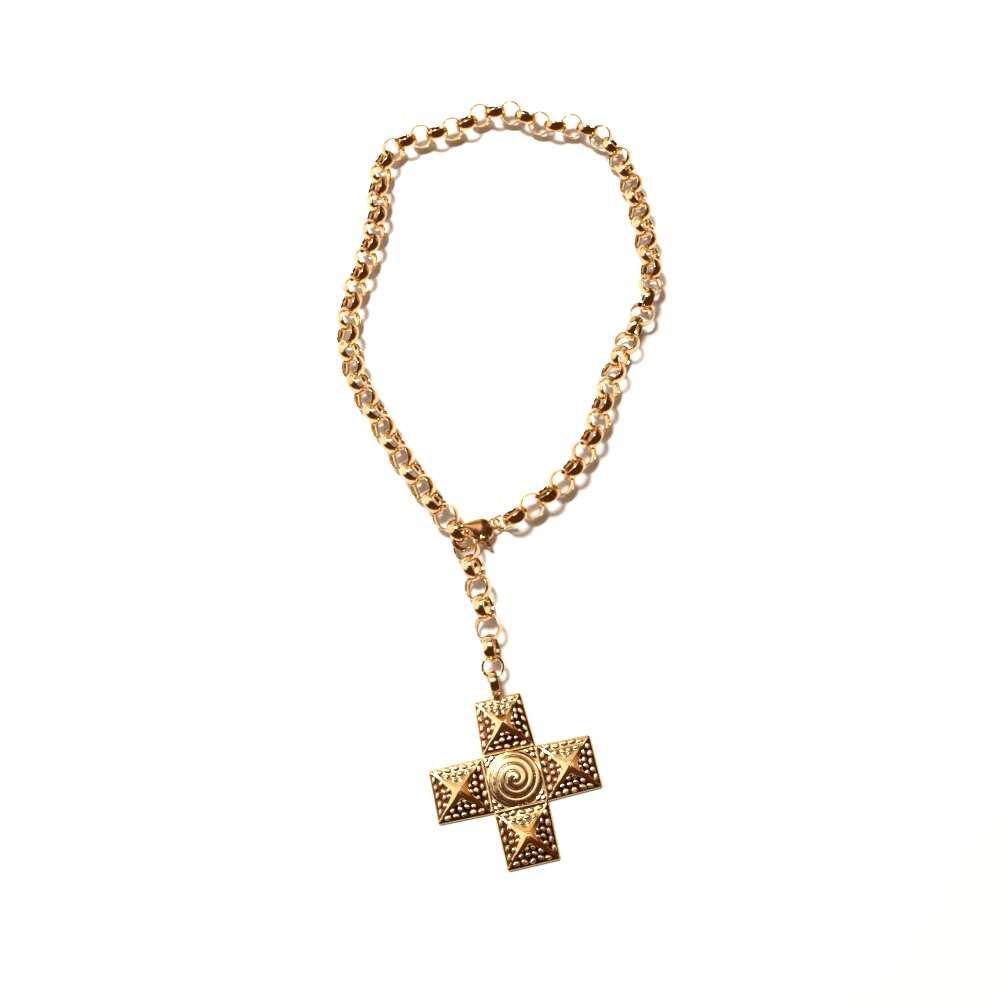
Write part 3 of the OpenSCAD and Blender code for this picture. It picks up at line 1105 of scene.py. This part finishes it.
    def bail_distance(self, x: Array, y: Array, z: Array) -> Array:
        """Distance to the bail: an upright band loop on a short tongue of the plate."""
        outer_r, wall, half, bulge_out, bulge_in = 4.1, 0.9, 1.4, 0.25, 0.2
        tongue_half, tongue_reach, tongue_thick = 1.1, 2.7, 0.85
        shift, edge, fillet, foot, foot_edge = 0.05, 0.12, 0.3, 0.03, 0.04
        radius = np.hypot(y - (self.end - shift + outer_r), z - (outer_r + shift))
        out_r, in_r = arc_radius(half, bulge_out), arc_radius(half, bulge_in)
        outer = np.hypot(radius - (outer_r - out_r), x) - out_r
        inner = np.hypot(radius - (outer_r - wall + in_r), x) - in_r
        band = smooth_max(smooth_max(outer, inner, edge), np.abs(x) - half, edge)
        flat = box_2d(x, y, (-tongue_half, self.end - self.plate), (tongue_half, self.end + tongue_reach))
        tongue = slab(flat, z - tongue_thick / 2, tongue_thick, edge)
        return smooth_max(smooth_min(band, tongue, fillet), foot - z, foot_edge)

    def build(self) -> None:
        """Builds and dresses the cross and its bail."""
        # The cross's gold takes painted shade from the sunk attribute
        gold = GoldFinish("cross_gold", rough_low=0.08, painted_shade="sunk").material()
        points, faces, shade_share = self.surface()
        piece = make_object("cross_relief", self.placement.place(points), faces)
        # Writes the painted-shade share of each point into the sunk attribute
        shade_mask = piece.data.attributes.new("sunk", "FLOAT", "POINT")
        shade_mask.data.foreach_set("value", shade_share.astype(np.float32))
        finish_piece(piece, gold, "necklace", "cross_pendant")
        low, high = (-1.6, self.end - 1.5, -0.2), (1.6, self.end + 8.5, 8.6)
        bail = CastForm(self.bail_distance, low, high, step=0.1)
        bail_gold = GoldFinish("bail_gold", grain=Grain.BUFFED).material()
        bail.build("cross_bail", self.placement, bail_gold, "necklace", "cross_pendant")


# The studio

@dataclass(frozen=True)
class Glow:
    """A soft bright patch of the surroundings, as the gold mirrors it."""

    towards: tuple
    half_angle: float
    soft: float
    colour: tuple
    strength: float


@dataclass
class Studio:
    """Pale floor, soft light from the upper left, and the camera of the photograph."""

    room: tuple = ((0.0, (0.26, 0.14, 0.05)), (0.1, (0.16, 0.065, 0.02)), (0.28, (0.1, 0.034, 0.008)),
                   (1.0, (0.075, 0.025, 0.005)))
    glows: tuple = (
        Glow((0.0, 0.358, 0.934), 16.0, 4.0, (1.0, 0.95, 0.88), 1.22),
        Glow((-0.87, 0.16, 0.45), 31.0, 6.0, (1.0, 0.95, 0.86), 1.25),
        Glow((-0.3, 0.9, 0.32), 24.0, 8.0, (1.0, 0.88, 0.6), 0.8),
        Glow((0.84, 0.52, 0.08), 21.0, 7.0, (1.0, 0.5, 0.18), 0.5),
    )
    key_towards: tuple = (-0.3, 0.26, 0.92)
    key_distance: float = 1.4
    key_size: float = 0.38
    key_power: float = 25.0
    key_colour: tuple = (1.0, 0.96, 0.92)
    tilt: float = 21.0
    lens: float = 37.8
    camera_at: tuple = (-0.00039, -0.15113, 0.3341)
    floor_half: float = 2.0
    floor_z: float = -0.00003

    def build_floor(self) -> None:
        """Lays the plain pale floor."""
        corners = self.floor_half * np.array([(-1, -1), (1, -1), (1, 1), (-1, 1)])
        points = np.column_stack([corners, np.full(4, self.floor_z)])
        floor = make_object("floor", points, [[0, 1, 2, 3]])
        material, sheet, place = start_material("pale_floor")
        fibre = sheet.out("Fac", "ShaderNodeTexNoise", {"Vector": place, "Scale": 900.0, "Detail": 5.0})
        colour = sheet.ramp(fibre, [(0.3, (0.86, 0.86, 0.86)), (0.7, (0.9, 0.9, 0.9))])
        sheet.surface({"Base Color": colour, "Roughness": 0.6})
        floor.data.materials.append(material)

    def build_room(self) -> None:
        """Builds the surroundings that light the gold and show in it."""
        world = bpy.data.worlds.new("room")
        bpy.context.scene.world = world
        world.use_nodes = True
        sheet = NodeSheet(world.node_tree)
        towards = sheet.out("Generated", "ShaderNodeTexCoord")
        total = sheet.ramp(sheet.out("Z", "ShaderNodeSeparateXYZ", {"Vector": towards}), self.room)
        maths = "ShaderNodeVectorMath"
        for glow in self.glows:
            aim = tuple(Vector(glow.towards).normalized())
            facing = sheet.out("Value", maths, {0: towards, 1: aim}, operation="DOT_PRODUCT")
            inner = math.cos(math.radians(max(0.0, glow.half_angle - glow.soft)))
            outer = math.cos(math.radians(glow.half_angle + glow.soft))
            share = sheet.spread(facing, outer, inner, 0.0, glow.strength)
            lit = sheet.out("Vector", maths, {0: glow.colour, "Scale": share}, operation="SCALE")
            total = sheet.out("Vector", maths, {0: total, 1: lit}, operation="ADD")
        back = sheet.out("Background", "ShaderNodeBackground", {"Color": total, "Strength": 1.0})
        sheet.add("ShaderNodeOutputWorld", {"Surface": back})

    def build_key(self) -> None:
        """Hangs the key light up at the upper left."""
        light = bpy.data.lights.new("key", "AREA")
        light.shape = "DISK"
        light.size = self.key_size
        light.energy = self.key_power
        light.color = self.key_colour
        lamp = bpy.data.objects.new("key", light)
        aim = Vector(self.key_towards).normalized()
        lamp.location = aim * self.key_distance
        lamp.rotation_euler = aim.to_track_quat("Z", "Y").to_euler()
        lamp.visible_camera = False
        bpy.context.scene.collection.objects.link(lamp)

    def build_camera(self) -> None:
        """Sets the camera where the photograph's stood."""
        camera = bpy.data.cameras.new("camera")
        camera.lens = self.lens
        camera.sensor_width = 36.0
        camera.clip_start = 0.01
        holder = bpy.data.objects.new("camera", camera)
        holder.location = self.camera_at
        holder.rotation_euler = (math.radians(self.tilt), 0, 0)
        bpy.context.scene.collection.objects.link(holder)
        bpy.context.scene.camera = holder

    def build(self) -> None:
        """Builds the whole studio, and keeps the picture's tones as bright as the light is."""
        bpy.context.scene.view_settings.view_transform = "Standard"
        self.build_camera()
        self.build_floor()
        self.build_room()
        self.build_key()


def main() -> None:
    """Builds the studio and every piece, in order from the camera to the pendant."""
    logging.basicConfig(level=logging.INFO, format="%(name)s: %(message)s")
    Studio().build()
    chain = Chain()
    chain.build()
    wire = GoldFinish("wire_gold", rough_low=0.05, rough_high=0.14, grain=Grain.DRAWN).material()
    WireRing("clasp_wire_ring", "clasp_ring", (1.34, -9.44, 3.98), (66.4, 0, -3.6)).build(wire)
    WireRing("pendant_wire_ring", "pendant_ring", (-2.32, -58.46, 5.09), (9.25, 0, 4)).build(wire)
    hook_aside, hook_raised = np.array([0.46, 0.5]), 0.4
    hook_mid = chain.mids[chain.neck_links - 1:chain.neck_links + 1].sum(axis=0) / 2 + hook_aside
    LobsterClasp(middle=[*hook_mid, chain.mid_z + hook_raised]).build()
    CrossPendant().build()


if __name__ == "__main__":
    main()
